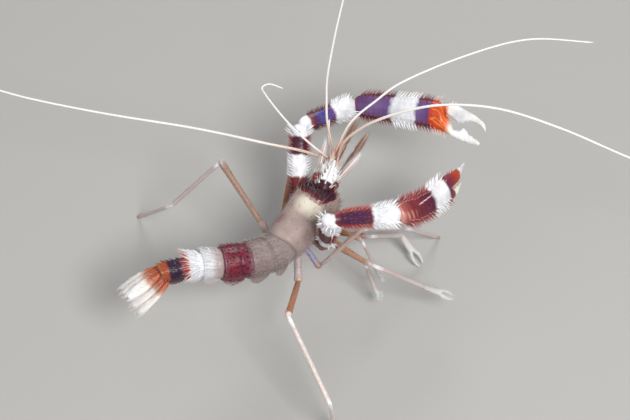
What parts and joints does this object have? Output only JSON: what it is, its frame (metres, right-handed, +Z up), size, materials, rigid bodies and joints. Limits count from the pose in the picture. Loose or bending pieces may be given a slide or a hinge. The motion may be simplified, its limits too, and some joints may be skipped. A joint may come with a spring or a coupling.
{
  "type": "banded boxer shrimp model",
  "caption": "Life-size still model of a banded boxer shrimp with long pincer arms, spiny banded shell, long feelers and slender legs, standing on its toes.",
  "frame": {"origin": "centre of the footprint box, on the floor the toes stand on", "axes": "+Z up; +X the way the carapace and head point; +Y the animal's left"},
  "size_m": [0.0806, 0.1596, 0.0658],
  "materials": {
    "clear_shell": "satin, thin shell over pale flesh",
    "red_shell": "satin wet shell",
    "white_shell": "satin wet shell",
    "violet_shell": "satin wet shell",
    "orange_leg": "satin, thin shell",
    "white_leg": "satin, thin shell",
    "feeler": "satin",
    "eye": "glossy"
  },
  "bodies": {
    "root": {"abdomen_1": "clear_shell", "abdomen_2": "clear_shell", "abdomen_3": "red_shell", "abdomen_4": "white_shell", "abdomen_5": "white_shell", "abdomen_6": "red_shell", "antenna_flagellum_left": "feeler", "antenna_flagellum_right": "feeler", "antenna_left": "white_shell", "antenna_right": "white_shell", "antennule_inner_left": "feeler", "antennule_inner_right": "feeler", "antennule_left": "clear_shell", "antennule_outer_left": "feeler", "antennule_outer_right": "feeler", "antennule_right": "clear_shell", "carapace": "clear_shell", "claw_arm_left": "red_shell", "claw_arm_right": "red_shell", "claw_finger_left": "white_shell", "claw_finger_right": "white_shell", "claw_palm_left": "violet_shell", "claw_palm_right": "violet_shell", "claw_wrist_left": "violet_shell", "claw_wrist_right": "violet_shell", "eye_left": "eye", "eye_right": "eye", "leg1_left_lower": "white_leg", "leg1_left_upper": "orange_leg", "leg1_right_lower": "white_leg", "leg1_right_upper": "orange_leg", "leg2_left_lower": "white_leg", "leg2_left_upper": "orange_leg", "leg2_right_lower": "white_leg", "leg2_right_upper": "orange_leg", "leg4_left_lower": "white_leg", "leg4_left_upper": "orange_leg", "leg4_right_lower": "white_leg", "leg4_right_upper": "orange_leg", "leg5_left_lower": "white_leg", "leg5_left_upper": "orange_leg", "leg5_right_lower": "white_leg", "leg5_right_upper": "orange_leg", "maxilliped_left": "clear_shell", "maxilliped_right": "clear_shell", "mouthparts": "clear_shell", "scale_left": "clear_shell", "scale_right": "clear_shell", "telson": "red_shell", "uropod_inner_left": "white_shell", "uropod_inner_right": "white_shell", "uropod_outer_left": "white_shell", "uropod_outer_right": "white_shell"}
  },
  "joints": []
}
